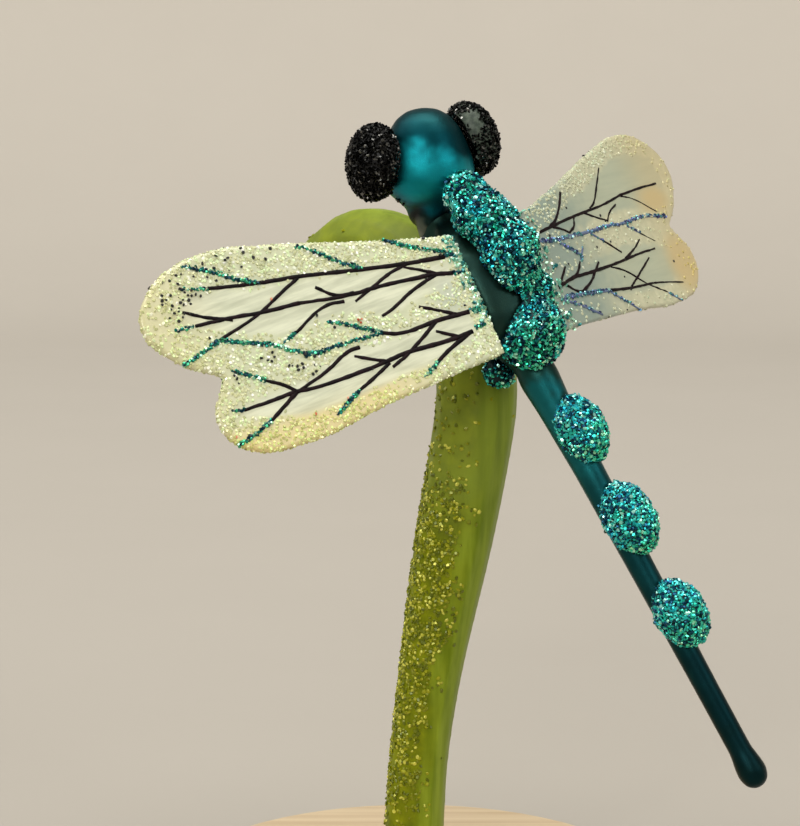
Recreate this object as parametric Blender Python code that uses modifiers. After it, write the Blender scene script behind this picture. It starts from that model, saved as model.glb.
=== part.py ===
"""Glass dragonfly ornament, perched on a cut length of its glass stem, on a plain display stand.

Run with: blender --background --python part.py

Sizes are written in millimetres and angles in degrees. The world has +Z up and its
origin in the centre of the stand base's underside. The dragonfly is modelled in its own
frame, with X to its right, Y towards its head and Z out of its back, and an empty turns
that frame to the pose it holds on the stem.
"""

import math

import bmesh
import bpy
from mathutils import Euler, Vector

MM = 0.001
GAP = 0.3                    # clearance between pieces that touch
SHARP = math.radians(40.0)   # edges sharper than this are shaded as edges

# Pose
BODY_AT = (10.5, -6.0, 64.0)
BODY_TURN = (65.0, -10.0, 44.5)
HEAD_AT = (0.5, 22.0, -1.4)
HEAD_TURN = (27.0, -15.0, -9.0)
TAIL_TURN = (-3.5, 0.0, 2.1)

# Thorax: stations from tail to neck, as (y, x, z, half width, half height)
THORAX = ((-5.5, 0.0, 0.0, 1.9, 2.1), (-2.0, 0.0, 0.0, 2.6, 2.7), (2.4, 0.0, 0.2, 5.9, 3.7),
          (9.0, 0.0, 0.2, 5.9, 3.7), (12.5, 0.0, -1.2, 5.0, 3.4), (14.8, 0.0, -3.0, 3.4, 2.6))

# Glitter ridge on the back, in two blobs with a waist between them
RIDGE_FRONT = ((2.4, 0.0, 2.8, 2.0, 2.0), (5.6, -0.3, 3.6, 3.3, 2.9), (9.5, -0.2, 4.0, 3.5, 3.2),
               (13.5, -0.7, 3.1, 3.3, 2.9), (17.4, -0.6, 2.4, 3.0, 2.6))
RIDGE_REAR = ((-3.6, -0.2, 1.6, 3.6, 2.9), (0.0, -0.4, 2.3, 3.9, 3.1), (5.0, 0.0, 2.7, 2.4, 2.3))

# Head and neck, in the head's own frame; the head is turned round its Y axis
HEAD_PROFILE = ((-7.3, 1.2), (-6.3, 2.1), (-5.2, 3.2), (-4.0, 4.3), (-2.6, 4.9), (-1.0, 4.7),
                (0.6, 4.2), (2.0, 3.6), (3.2, 2.7), (3.9, 1.6), (4.2, 0.0))
NECK_PROFILE = ((-10.1, 1.4), (-8.3, 1.1), (-5.8, 1.1))
EYE_SIZE = (2.8, 4.1, 3.6)   # half sizes: across, along, up
EYE_PLACES = (("eye_left", -5.9, -0.5), ("eye_right", 5.4, 0.2))   # across and along the head
EYE_TOE_IN = 12.0

# Tail: (distance back from the wings' rear edge, radius), then the glitter beads on it
TAIL = ((2.0, 2.1), (4.0, 2.1), (7.0, 1.85), (14.0, 1.55), (27.0, 1.35), (39.0, 1.22), (45.7, 1.2),
        (46.8, 1.4), (48.0, 1.55), (49.1, 1.25), (49.6, 0.6))
TAIL_BEADS = ((10.5, 2.5, 3.8), (20.5, 2.65, 4.0), (31.0, 2.6, 3.6))   # (distance, radius, half length)
BEAD_RISE = 1.7
BEAD_TAPER = 0.16            # how much slimmer a bead's ends are than an oval's
BELLY_BEAD_AT = (-0.9, -1.7, -3.5)
BELLY_BEAD = (1.6, 1.75)     # radius, half length

# Wings: one flat sheet a side, with a fore and a hind lobe; outline as (out, forward)
WING_ROOT = (5.0, 0.0, 2.5)
WING_DROOP = 13.0
WING_THICKNESS = 0.9
WING_ROOT_EDGE = ((0.0, 12.0), (0.0, -0.8))
FORE_LOBE = ((9.0, 14.3), (18.0, 16.9), (26.0, 18.4), (31.5, 17.0), (34.2, 13.5), (32.2, 9.4))
WING_NOTCH = (28.6, 6.8)
HIND_LOBE = ((31.0, 3.0), (29.2, -0.3), (24.0, -1.7), (14.0, -1.2))

# Stem and stand, in world millimetres; stem points are (x, y, z, radius)
STEM = ((0.0, 0.0, 11.3, 3.2), (0.2, 0.0, 17.0, 3.1), (0.9, 0.0, 23.0, 3.1), (2.0, 0.0, 31.0, 3.4),
        (3.9, 0.0, 41.5, 4.1), (5.5, 0.1, 50.5, 4.25), (6.4, 0.2, 56.0, 4.25), (6.6, 0.7, 60.5, 4.25),
        (4.9, 2.4, 65.4, 4.25), (1.7, 5.2, 69.6, 4.25), (-1.5, 8.3, 72.0, 4.2), (-4.7, 11.8, 73.0, 4.2),
        (-7.8, 15.4, 71.7, 4.2), (-10.4, 18.8, 67.8, 4.2))
BASE_RADIUS = 28.0
BASE_THICKNESS = 5.0
BASE_RIM = 0.8
ROD_RADIUS = 1.6
CUP_RADIUS = 2.6
CUP_THICKNESS = 0.8
CUP_FLARE = 0.6

# Colours of the glass, its finishes and the stand
TEAL_GLASS = (0.010, 0.115, 0.130, 1.0)
TEAL_GLITTER = (0.010, 0.270, 0.270, 1.0)
BLACK_GLITTER = (0.010, 0.010, 0.011, 1.0)
PEARL_GLASS = (0.700, 0.720, 0.550, 1.0)
STEM_GLASS = (0.230, 0.290, 0.030, 1.0)
BIRCH = (0.720, 0.620, 0.480, 1.0)
STEEL = (0.600, 0.600, 0.600, 1.0)


def clear_scene():
    for thing in list(bpy.data.objects):
        bpy.data.objects.remove(thing, do_unlink=True)


def collection(name):
    made = bpy.data.collections.new(name)
    bpy.context.scene.collection.children.link(made)
    return made


def material(name, colour, roughness, metallic=0.0, transmission=0.0):
    made = bpy.data.materials.new(name)
    made.use_nodes = True
    shader = made.node_tree.nodes["Principled BSDF"]
    shader.inputs["Base Color"].default_value = colour
    shader.inputs["Roughness"].default_value = roughness
    shader.inputs["Metallic"].default_value = metallic
    shader.inputs["Transmission Weight"].default_value = transmission
    made.diffuse_color = colour
    return made


def empty(name, place, turn, parent=None):
    made = bpy.data.objects.new(name, None)
    made.location = Vector(place) * MM
    made.rotation_euler = Euler([math.radians(angle) for angle in turn])
    made.parent = parent
    PARTS.objects.link(made)
    return made


def add_mesh(name, bm, finish, parent=None, place=(0.0, 0.0, 0.0), turn=(0.0, 0.0, 0.0)):
    """Link a finished bmesh as a named, smooth-shaded object."""
    bmesh.ops.scale(bm, vec=(MM, MM, MM), verts=bm.verts)
    bmesh.ops.recalc_face_normals(bm, faces=bm.faces)
    mesh = bpy.data.meshes.new(name)
    bm.to_mesh(mesh)
    bm.free()
    mesh.materials.append(finish)
    mesh.shade_smooth()
    made = bpy.data.objects.new(name, mesh)
    made.location = Vector(place) * MM
    made.rotation_euler = Euler([math.radians(angle) for angle in turn])
    made.parent = parent
    PARTS.objects.link(made)
    return made


def between(stations, y):
    """Read a station list at y, easing from each station to the next."""
    last = len(stations) - 1
    i = max(0, min(last - 1, sum(1 for station in stations if station[0] <= y) - 1))
    low, high = stations[i], stations[i + 1]
    part = max(0.0, min(1.0, (y - low[0]) / (high[0] - low[0])))
    eased = part * part * (3.0 - 2.0 * part)
    return [a + (b - a) * eased for a, b in zip(low[1:], high[1:])]


def swell(stations, sides=24, rings=14):
    """A sphere drawn out along Y, whose sections follow the stations."""
    bm = bmesh.new()
    bmesh.ops.create_uvsphere(bm, u_segments=sides, v_segments=rings, radius=1.0)
    start, end = stations[0][0], stations[-1][0]
    for vert in bm.verts:
        across, up, along = vert.co
        y = start + (end - start) * (1.0 + along) / 2.0
        x, z, half_width, half_height = between(stations, y)
        vert.co = (x + across * half_width, y, z + up * half_height)
    return bm


def turned(profile, sides=24):
    """A closed round body about Y, from (y, radius) pairs; it ends in flats or points."""
    bm = bmesh.new()
    rings = []
    for y, radius in profile:
        if radius == 0.0:
            rings.append([bm.verts.new((0.0, y, 0.0))])
            continue
        angles = [2.0 * math.pi * i / sides for i in range(sides)]
        rings.append([bm.verts.new((radius * math.cos(a), y, radius * math.sin(a))) for a in angles])
    for low, high in zip(rings, rings[1:]):
        for i in range(sides):
            j = (i + 1) % sides
            corners = [low[i % len(low)], low[j % len(low)], high[j % len(high)], high[i % len(high)]]
            bm.faces.new(list(dict.fromkeys(corners)))
    for ring in (rings[0], rings[-1]):
        if len(ring) > 1:
            bm.faces.new(ring)
    return bm


def lemon(radius, half_length, steps=14):
    """An oval body about Y whose ends are slightly drawn out."""
    profile = [(-half_length, 0.0)]
    for i in range(1, steps):
        angle = math.pi * i / steps
        slimmer = 1.0 - BEAD_TAPER * math.cos(angle) ** 6
        profile.append((-half_length * math.cos(angle), radius * slimmer * math.sin(angle)))
    profile.append((half_length, 0.0))
    return turned(profile, sides=20)


def seat(piece, neighbour, clearance=GAP):
    """Cut a neighbour's shape out of a piece, with clearance all round."""
    mesh = neighbour.data.copy()
    bm = bmesh.new()
    bm.from_mesh(mesh)
    bm.normal_update()
    shift = {vert: vert.normal * vert.calc_shell_factor() * clearance * MM for vert in bm.verts}
    for vert, step in shift.items():
        vert.co += step
    bm.to_mesh(mesh)
    bm.free()
    cutter = bpy.data.objects.new(f"{piece.name}_less_{neighbour.name}", mesh)
    cutter.location = neighbour.location
    cutter.rotation_euler = neighbour.rotation_euler
    cutter.parent = neighbour.parent
    cutter.hide_render = True
    cutter.display_type = "WIRE"
    CUTTERS.objects.link(cutter)
    cut = piece.modifiers.new(f"seat on {neighbour.name}", "BOOLEAN")
    cut.operation = "DIFFERENCE"
    cut.solver = "EXACT"
    cut.object = cutter


def from_curve(curve):
    """Turn a curve drawn in millimetres into a welded bmesh, and drop the curve."""
    drawn = bpy.data.objects.new(curve.name, curve)
    PARTS.objects.link(drawn)
    mesh = bpy.data.meshes.new_from_object(drawn.evaluated_get(bpy.context.evaluated_depsgraph_get()))
    bpy.data.objects.remove(drawn)
    bm = bmesh.new()
    bm.from_mesh(mesh)
    bpy.data.meshes.remove(mesh)
    bmesh.ops.remove_doubles(bm, verts=bm.verts, dist=0.001)
    return bm


def wing(name, side, finish, body):
    """One flat two-lobed sheet; side is 1 on the right and -1 on the left."""
    curve = bpy.data.curves.new(name + "_outline", "CURVE")
    curve.dimensions = "2D"
    curve.fill_mode = "BOTH"
    curve.extrude = WING_THICKNESS / 2.0
    curve.resolution_u = 5
    corners = WING_ROOT_EDGE + (WING_NOTCH,)
    outline = WING_ROOT_EDGE[:1] + FORE_LOBE + (WING_NOTCH,) + HIND_LOBE + WING_ROOT_EDGE[1:]
    line = curve.splines.new("BEZIER")
    line.bezier_points.add(len(outline) - 1)
    line.use_cyclic_u = True
    for point, (out, forward) in zip(line.bezier_points, outline):
        kind = "VECTOR" if (out, forward) in corners else "AUTO"
        point.co = (side * out, forward, 0.0)
        point.handle_left_type = kind
        point.handle_right_type = kind
    out, forward, up = WING_ROOT
    made = add_mesh(name, from_curve(curve), finish, body, (side * out, forward, up),
                    (0.0, side * WING_DROOP, 0.0))
    made.data.set_sharp_from_angle(angle=SHARP)
    return made


def build_stem(green):
    """The arched glass stem, cut flat at both ends."""
    curve = bpy.data.curves.new("stem_line", "CURVE")
    curve.dimensions = "3D"
    curve.bevel_depth = 1.0
    curve.bevel_resolution = 4
    curve.use_fill_caps = True
    curve.resolution_u = 3
    line = curve.splines.new("NURBS")
    line.points.add(len(STEM) - 1)
    line.order_u = 4
    line.use_endpoint_u = True
    for point, (x, y, z, radius) in zip(line.points, STEM):
        point.co = (x, y, z, 1.0)
        point.radius = radius
    made = add_mesh("perch_stem", from_curve(curve), green)
    made.data.set_sharp_from_angle(angle=SHARP)


def build_stand(birch, steel):
    """A flat round base, and a short rod with a cup under the stem."""
    bm = bmesh.new()
    bmesh.ops.create_cone(bm, cap_ends=True, segments=64, radius1=BASE_RADIUS, radius2=BASE_RADIUS,
                          depth=BASE_THICKNESS)
    base = add_mesh("stand_base", bm, birch, place=(0.0, 0.0, BASE_THICKNESS / 2.0))
    edge = base.modifiers.new("rounded rim", "BEVEL")
    edge.width = BASE_RIM * MM
    edge.segments = 2
    edge.limit_method = "ANGLE"
    base.data.set_sharp_from_angle(angle=SHARP)

    foot = BASE_THICKNESS + GAP
    top = STEM[0][2] - GAP
    rim = top - CUP_THICKNESS
    profile = ((foot, ROD_RADIUS), (rim - CUP_FLARE, ROD_RADIUS), (rim, CUP_RADIUS), (top, CUP_RADIUS))
    rod = add_mesh("stand_rod", turned(profile, sides=32), steel, turn=(90.0, 0.0, 0.0))
    rod.data.set_sharp_from_angle(angle=SHARP)


def build_head(teal, black, body):
    """The head, its eyes and the neck; returns the neck, which also meets the thorax."""
    frame = empty("head_frame", HEAD_AT, HEAD_TURN, body)
    head = add_mesh("head", turned(HEAD_PROFILE, sides=28), teal, frame)
    for name, across, along in EYE_PLACES:
        bm = bmesh.new()
        bmesh.ops.create_uvsphere(bm, u_segments=20, v_segments=14, radius=1.0)
        bmesh.ops.scale(bm, vec=EYE_SIZE, verts=bm.verts)
        eye = add_mesh(name, bm, black, frame, (across, along, 0.0),
                       (0.0, 0.0, math.copysign(EYE_TOE_IN, across)))
        seat(eye, head)
    neck = add_mesh("neck", turned(NECK_PROFILE, sides=16), teal, frame)
    seat(neck, head)
    return neck


def build_dragonfly(teal, glitter, black, pearl):
    body = empty("dragonfly", BODY_AT, BODY_TURN)
    wings = [wing("wing_right", 1, pearl, body), wing("wing_left", -1, pearl, body)]
    thorax = add_mesh("thorax", swell(THORAX, sides=28, rings=18), teal, body)
    for sheet in wings:
        seat(thorax, sheet)

    tail_frame = empty("tail_frame", (0.0, 0.0, 0.0), TAIL_TURN, body)
    profile = [(-back, radius) for back, radius in TAIL] + [(-TAIL[-1][0] - 0.1, 0.0)]
    tail = add_mesh("tail", turned(profile, sides=20), teal, tail_frame)
    seat(tail, thorax)
    for number, (back, radius, half_length) in enumerate(TAIL_BEADS, 1):
        bead = add_mesh(f"tail_bead_{number}", lemon(radius, half_length), glitter, tail_frame,
                        (0.0, -back, BEAD_RISE))
        seat(bead, tail)

    ridge_front = add_mesh("ridge_front", swell(RIDGE_FRONT), glitter, body)
    seat(ridge_front, thorax)
    ridge_rear = add_mesh("ridge_rear", swell(RIDGE_REAR), glitter, body)
    for neighbour in (thorax, tail, ridge_front):
        seat(ridge_rear, neighbour)

    neck = build_head(teal, black, body)
    seat(neck, thorax)
    belly = add_mesh("belly_bead", lemon(*BELLY_BEAD), glitter, body, BELLY_BEAD_AT)
    for neighbour in (thorax, bpy.data.objects["perch_stem"]):
        seat(belly, neighbour)


def build():
    teal = material("teal_glass", TEAL_GLASS, 0.35, metallic=0.3)
    glitter = material("teal_glitter", TEAL_GLITTER, 0.3, metallic=0.6)
    black = material("black_glitter", BLACK_GLITTER, 0.4)
    pearl = material("pearl_glass", PEARL_GLASS, 0.3)
    green = material("stem_glass", STEM_GLASS, 0.15, transmission=0.3)
    birch = material("birch", BIRCH, 0.5)
    steel = material("brushed_steel", STEEL, 0.3, metallic=1.0)
    build_stem(green)
    build_stand(birch, steel)
    build_dragonfly(teal, glitter, black, pearl)


clear_scene()
PARTS = collection("glass_dragonfly")
CUTTERS = collection("cutters")
build()
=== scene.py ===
"""The finish of a lamp-worked glass dragonfly on a cut length of its glass stem.

Every glass piece starts as a merged copy of its solid, which is melted smooth and drawn in a
little. Glitter is strewn over it as small closed chips, whose tips reach back out to the solid's
own surface. The wings carry painted veins, drawn in millimetres out from the body and forward
along it. Lengths named without a unit are in metres.
"""

import math

import bpy
from mathutils import Euler, Matrix, Vector, kdtree, noise


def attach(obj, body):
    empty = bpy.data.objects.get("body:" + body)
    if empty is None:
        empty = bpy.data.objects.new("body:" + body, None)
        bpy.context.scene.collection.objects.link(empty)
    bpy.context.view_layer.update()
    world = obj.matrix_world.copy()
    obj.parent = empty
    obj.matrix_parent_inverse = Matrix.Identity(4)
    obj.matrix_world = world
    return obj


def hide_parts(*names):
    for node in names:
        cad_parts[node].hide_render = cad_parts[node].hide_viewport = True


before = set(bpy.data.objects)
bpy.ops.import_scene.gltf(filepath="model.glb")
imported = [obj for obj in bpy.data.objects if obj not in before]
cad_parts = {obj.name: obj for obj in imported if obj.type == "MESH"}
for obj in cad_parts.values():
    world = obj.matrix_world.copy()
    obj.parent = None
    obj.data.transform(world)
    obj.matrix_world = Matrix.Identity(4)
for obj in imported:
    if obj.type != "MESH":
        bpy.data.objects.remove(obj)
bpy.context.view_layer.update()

MM = 0.001
WELD = 1e-6  # corners of a solid closer than this are one corner
SWELL = 0.17 * MM  # over half the clearance between solids that touch
COAT_MAP = "OFBake"
PATCH = 0.003  # width of one chip's patch on that map
MOST_CHIPS = 6e7  # points on a square metre before they are thinned
STRAY_COVER = 0.004  # cover where only a stray chip lies here and there
TONES_OF_CHIPS = ("Deep", "Main", "Second", "Bright")
TONE_STEPS = ((0.18, 0.34), (0.55, 0.68), (0.84, 0.94))  # where each takes over from the last
WANDER = 0.3  # how far the colours along a piece wander, as a share of it

# The frames that the solids are posed in, in millimetres and degrees
BODY_POSE = ((10.5, -6.0, 64.0), (65.0, -10.0, 44.5))
HEAD_POSE = ((0.5, 22.0, -1.4), (27.0, -15.0, -9.0))
WING_REACH = 5.0
WING_RISE = 2.5
WING_DROOP = 13.0
SHEET_TOP = 0.45  # half the thickness of a wing, in millimetres
ROOT_EDGE = 0.1  # corners nearer to the body than this are the wing's root

# The painted strokes, in millimetres
STROKE_STEP = 0.1  # between the spots that stand for a stroke
STROKE_WELD = 1e-4
INK_HEIGHT, LINE_HEIGHT = 0.5, 0.4  # shares of a stroke's width, painted or in glitter
STROKE_TAPER = 0.25  # by what share a stroke is thinner at its end
STROKE_SEAT = 0.8  # how far up its middle lies on the wing, as a share of SHEET_TOP


def pose(at, turn):
    """A frame from a place in millimetres and angles in degrees."""
    return Matrix.LocRotScale(Vector(at) * MM, Euler([math.radians(angle) for angle in turn]), None)


BODY = pose(*BODY_POSE)
HEAD = BODY @ pose(*HEAD_POSE)
WINGS = {"wing_left": -1, "wing_right": 1}
WING_FRAMES = {name: BODY @ pose((side * WING_REACH, 0.0, WING_RISE), (0.0, side * WING_DROOP, 0.0))
               for name, side in WINGS.items()}

# Smooth painted blades on the wings, as outlines (out, forward) in millimetres
BLADES = {
    "wing_left": (
        ((1.9, 9.6), (7, 10.7), (12, 11.9), (17.5, 12.8), (23, 13.8), (27.5, 15), (29.5, 14.6), (30, 13.2),
         (28.5, 11.4), (24.5, 9.6), (21, 8.5), (17, 8.5), (14, 8.2), (11, 6.9), (8, 7), (2.3, 7.4)),
        ((1.8, 4.4), (10, 4.4), (14.5, 4.9), (18, 4.5), (20.5, 4), (24, 3.9), (28, 3.8), (28.5, 2.7),
         (26, 1.8), (22, 0.6), (18, 0.5), (13, 0.6), (9, 0.9), (2.6, 1.5))),
    "wing_right": (
        ((4, 9.5), (9, 12), (14.5, 13.4), (21.5, 15.6), (26, 16.1), (31, 15), (31.3, 12), (29.5, 9.2),
         (24, 9.5), (19, 9.9), (15, 9.6), (9, 9)),
        ((3, 3.4), (10, 5.4), (16, 6.2), (22, 5.6), (27, 4.2), (28.3, 1.2), (20, 0.4), (10, 1.2))),
}

# Painted strokes on the wings: (width, points as (out, forward)), all in millimetres
INK = {
    "wing_left": (
        (0.42, ((2, 10.2), (6, 10.8), (11, 11.8), (17.5, 13.2), (21.5, 13.9), (24, 14.4), (26.5, 15))),
        (0.42, ((1.9, 8.4), (3.4, 8.8), (6.8, 9.3), (10.5, 9.7), (13.5, 9.9), (18.5, 10.8))),
        (0.38, ((18.5, 10.8), (22.5, 11.2), (25.5, 11.7), (27.3, 11.9), (29.2, 12.1))),
        (0.32, ((3.4, 8.8), (5.3, 9.9), (6.7, 10.6))),
        (0.34, ((6, 10.8), (8.3, 10.5), (10.7, 9.8), (13, 9.1))),
        (0.36, ((3.8, 8.8), (6.7, 8.2), (10, 7.1), (11, 6.9))),
        (0.38, ((12.8, 9.9), (14.6, 10.3), (16.3, 11.7))),
        (0.34, ((17.6, 13.1), (19.3, 12.5), (23, 11.1), (27.6, 10.1))),
        (0.34, ((25.5, 11.5), (27.8, 12.5), (29.8, 13.7))),
        (0.34, ((14.1, 9.5), (16, 9.7), (20.1, 8.3))),
        (0.42, ((2, 4.3), (5.5, 4.6), (10.2, 4.8), (11.7, 5.4))),
        (0.38, ((5.8, 4.6), (8.3, 3.4), (10.8, 2.4), (12.2, 2))),
        (0.36, ((3.4, 4.5), (5.3, 5.6), (6.9, 6.5))),
        (0.44, ((2.5, 2.4), (5.1, 2.4), (10.7, 2.8), (12.5, 2.7), (17, 2.7), (21, 2.9), (22.6, 3.2))),
        (0.38, ((22.6, 3.2), (25.1, 3.2), (28.1, 3.3))),
        (0.36, ((4.2, 2.4), (6.3, 3.7))),
        (0.44, ((2.8, 2.4), (5.9, 1.5), (7.4, 0.9))),
        (0.34, ((12.3, 2.6), (13.7, 3.3), (15.5, 4.3))),
        (0.36, ((12.3, 2.5), (15.1, 1.5), (16.5, 1.1))),
        (0.38, ((14.6, 4.9), (15.8, 4.9), (18.8, 3.9), (22.4, 3.1))),
        (0.36, ((22.4, 3.1), (23.5, 4.2), (25, 5.2))),
        (0.4, ((22.6, 3.1), (24, 2.4), (26, 1.5)))),
    "wing_right": (
        (0.36, ((0.6, 9.5), (3.5, 9.8), (8.3, 10.3), (12.2, 10.6), (16.2, 10.9), (20.6, 11.5))),
        (0.32, ((20.6, 11.5), (25.4, 11.8), (29.5, 11.9))),
        (0.38, ((3.9, 9.9), (5.4, 10.4), (7.6, 12), (8.8, 13.2))),
        (0.28, ((13.1, 10.8), (14.4, 11.3), (16.4, 12.9), (18.8, 15))),
        (0.3, ((4.3, 9.8), (5.8, 9.4), (7.1, 8.8))),
        (0.3, ((7.1, 8.8), (8.5, 9.4), (9.2, 10.3))),
        (0.28, ((11.6, 10.5), (13.4, 9.8), (15.6, 9.1))),
        (0.26, ((15.5, 9), (16.8, 9.9), (18.8, 10.6))),
        (0.2, ((20.6, 11.4), (22.9, 10.8), (26.8, 8.8))),
        (0.28, ((12.9, 7.1), (15.5, 5.4))),
        (0.2, ((21.1, 6.9), (23.6, 5.6))),
        (0.42, ((0.4, 3.6), (3.6, 4.1), (7.9, 4.2), (12, 4.3), (15.7, 4.5))),
        (0.32, ((15.7, 4.5), (19, 4.7), (22.8, 4.8))),
        (0.38, ((0.7, 3.8), (1.9, 4.5), (3.4, 5.5))),
        (0.4, ((3.6, 4.1), (5.1, 4.5), (6.6, 5.6))),
        (0.38, ((4.6, 2.5), (6.8, 3.2), (10.1, 5))),
        (0.34, ((2, 3.6), (3.6, 2.7), (4.6, 2.5))),
        (0.26, ((15.7, 4.6), (18.5, 5.4), (20.4, 6.2))),
        (0.24, ((12, 4.2), (14.6, 3.3), (17.7, 1.4), (21.3, -0.2))),
        (0.3, ((14.4, 1.5), (17.2, 2.6), (20.7, 4))),
        (0.36, ((9.6, 1.8), (14.2, 1.4), (19.2, 1.2))),
        (0.22, ((19.2, 1.2), (22.5, 0.8), (25.6, 0.3)))),
}

# Raised lines of glitter, given in the same way
GLITTER_LINES = {
    "wing_left": (
        (0.44, ((1.6, 10.6), (4.8, 12.1), (7.5, 13.8))),
        (0.44, ((10.9, 11.9), (12.6, 13), (14.9, 15), (16.4, 16))),
        (0.44, ((21.6, 13.9), (23.6, 15), (25.7, 16.5), (28, 17.7))),
        (0.32, ((26.6, 15), (29.2, 15.8))),
        (0.5, ((0.6, 8.2), (1.8, 8.4))),
        (0.34, ((29.4, 12.1), (31.2, 12.3))),
        (0.42, ((27.6, 10.1), (30.3, 9.4), (31.9, 9.1))),
        (0.36, ((20.1, 8.3), (21.8, 7.8))),
        (0.44, ((27.6, 10.1), (25.6, 9.2), (22.8, 8), (21.1, 6.8), (19.3, 5.9), (17.1, 5.8), (14.3, 5.6),
                (11.7, 5.4))),
        (0.7, ((20.2, 6.1), (18.3, 5.8))),
        (0.44, ((11.7, 5.4), (13.5, 6.5), (15.1, 7.5), (16.6, 8.2))),
        (0.8, ((0.8, 4.2), (1.6, 4.3))),
        (0.8, ((1, 10.2), (1.9, 10.3))),
        (0.6, ((1, 2.8), (2, 2.6))),
        (0.3, ((28.1, 3.3), (29.2, 3.6))),
        (0.44, ((7.4, 0.9), (9.4, 0))),
        (0.42, ((16.5, 1.1), (19.5, -0.2))),
        (0.44, ((25, 5.2), (27.6, 7.1))),
        (0.44, ((26, 1.5), (28, 0.9), (30, 0.5)))),
    "wing_right": (
        (0.56, ((0.5, 8.7), (3.8, 8.4), (6.2, 8.4))),
        (0.5, ((6.2, 8.4), (11, 8.4), (15.4, 8.5), (19.1, 8.4), (22.6, 8.6), (28.4, 8))),
        (0.46, ((4.2, 8.2), (5.7, 7.2), (7.5, 6.2))),
        (0.4, ((6.8, 5.7), (8.3, 6.9))),
        (0.4, ((10.9, 8.3), (12.9, 7.1))),
        (0.32, ((18.9, 8.1), (21.1, 6.9))),
        (0.56, ((0.2, 2.5), (3.3, 2.3), (7.2, 2), (9.8, 1.8))),
        (0.48, ((0.4, 2.2), (2.5, 1.4), (6.3, -0.4))),
        (0.36, ((9.7, 1.7), (11.8, 0.3), (14, -1.1))),
        (0.6, ((-0.2, 9.4), (0.7, 9.5))),
        (0.3, ((21.4, -0.3), (23.6, -1.6)))),
}

# Melted glass where the head, neck, thorax and ridge meet, as (centre, radius), and a shallow waist
# in the ridge's front blob: in millimetres, the neck's in the head's frame, the rest in the body's
NECK_FILLETS = (((0.2, -6.3, 0.0), 2.6), ((0.3, -8.2, 0.3), 2.0))
NAPE_FILLETS = (((0.4, 12.9, -5.2), 2.15), ((0.3, 11.5, -4.5), 2.2), ((0.3, 9.9, -3.5), 2.1),
                ((0.4, 14.6, -3.9), 1.9))
RIDGE_FILLETS = (((-0.5, 15.7, 2.2), 2.2), ((1.7, 4.2, 2.6), 2.3))
RIDGE_NIP = (-0.3, 10.6, 3.7)

FOLDS = 4  # twisted folds round the neck
FOLD_TWIST = 1.8  # their turn with each millimetre of it, in radians
FOLD_ENDS = (-12.0, -4.4)  # where they lie along the head's own Y axis, in millimetres
FOLD_FADES = (1.2, 2.4)  # how far in from each end they reach their full depth
FOLD_DEPTH = 0.3

# Colours along the glass, from its low end to its high one: (share of the way, screen colour), with painted
# light and shade among them
# On the head the bright band and the dark dome are painted reflections, and the dark bottom is painted shade
HEAD_COLOURS_AND_PAINTED_LIGHT = ((0.0, (140, 144, 130)), (0.1, (96, 104, 92)), (0.17, (26, 44, 42)), (0.27, (0, 98, 118)),
                (0.4, (14, 138, 150)), (0.58, (22, 158, 170)), (0.75, (0, 64, 72)), (0.96, (22, 74, 78)))
# On the body the dark grey-green thorax is painted shade, and the bright tail root is partly a painted
# highlight
BODY_COLOURS_AND_PAINTED_LIGHT = ((0.0, (12, 36, 36)), (0.14, (10, 42, 46)), (0.4, (16, 66, 70)), (0.66, (26, 106, 110)),
                (0.72, (30, 70, 64)), (0.8, (36, 60, 52)))

GREEN_SIDE = Vector((0.65, -0.3, -0.7))  # where green chips gather on the ridge and beads
GOLD_SIDE = Vector((-0.8, -0.6, 0.0))  # where gold chips lie on the stem

# Places in the head's frame, in millimetres: the bare patch on the right eye, and where chips stray
BARE_PATCH_AT = (4.2, 2.6, 2.6)
STRAY_AT = (-3.6, -4.9, 0.3)

# Where red chips stray on the left wing, (out, forward) in millimetres
RED_SPECKS = ((13.5, 7), (17, 5.9), (21, 12.3), (30, 1.3), (21.5, 0.5), (18, 1), (12.6, 8.4))

AIM = Vector((-0.0015, -0.0068, 0.057))  # what the camera and most lamps point at
SENSOR_WIDTH = 36.0  # in millimetres
VIEW_DISTANCE = 0.21075  # from there to the camera
VIEW_WIDTH = 0.08  # width of its view at the ornament
VIEW_DOWN = 8.0  # how far it looks down, in degrees


# Modelling helpers

def pick(*pieces):
    """Select these pieces alone, the first of them active."""
    bpy.ops.object.select_all(action="DESELECT")
    for piece in pieces:
        piece.select_set(True)
    bpy.context.view_layer.objects.active = pieces[0]


def work(piece, kind, **settings):
    """Give a piece one modifier and apply it."""
    pick(piece)
    step = piece.modifiers.new(kind.lower(), kind)
    for key, value in settings.items():
        setattr(step, key, value)
    bpy.ops.object.modifier_apply(modifier=step.name)


def edit(piece, chosen="DESELECT"):
    """Open a piece in edit mode with nothing selected, or all of it."""
    pick(piece)
    bpy.ops.object.mode_set(mode="EDIT")
    bpy.ops.mesh.select_all(action=chosen)


def done():
    """Leave edit mode."""
    bpy.ops.object.mode_set(mode="OBJECT")


def select_where(piece, rule, kind="polygons"):
    """In edit mode, select the faces, edges or vertices that a rule picks out."""
    done()
    for part in getattr(piece.data, kind):
        part.select = rule(part)
    bpy.ops.object.mode_set(mode="EDIT")


def merge(piece, reach):
    """Make corners that lie closer than this one corner."""
    edit(piece, "SELECT")
    bpy.ops.mesh.remove_doubles(threshold=reach)
    done()


def settle(piece, place):
    """Move a piece to a place by its mesh, and leave its object at the origin."""
    piece.data.transform(place)
    piece.data.update()


def new_object(name, data):
    """An object in the scene for a mesh, curve, light or camera."""
    made = bpy.data.objects.new(name, data)
    bpy.context.collection.objects.link(made)
    return made


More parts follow.
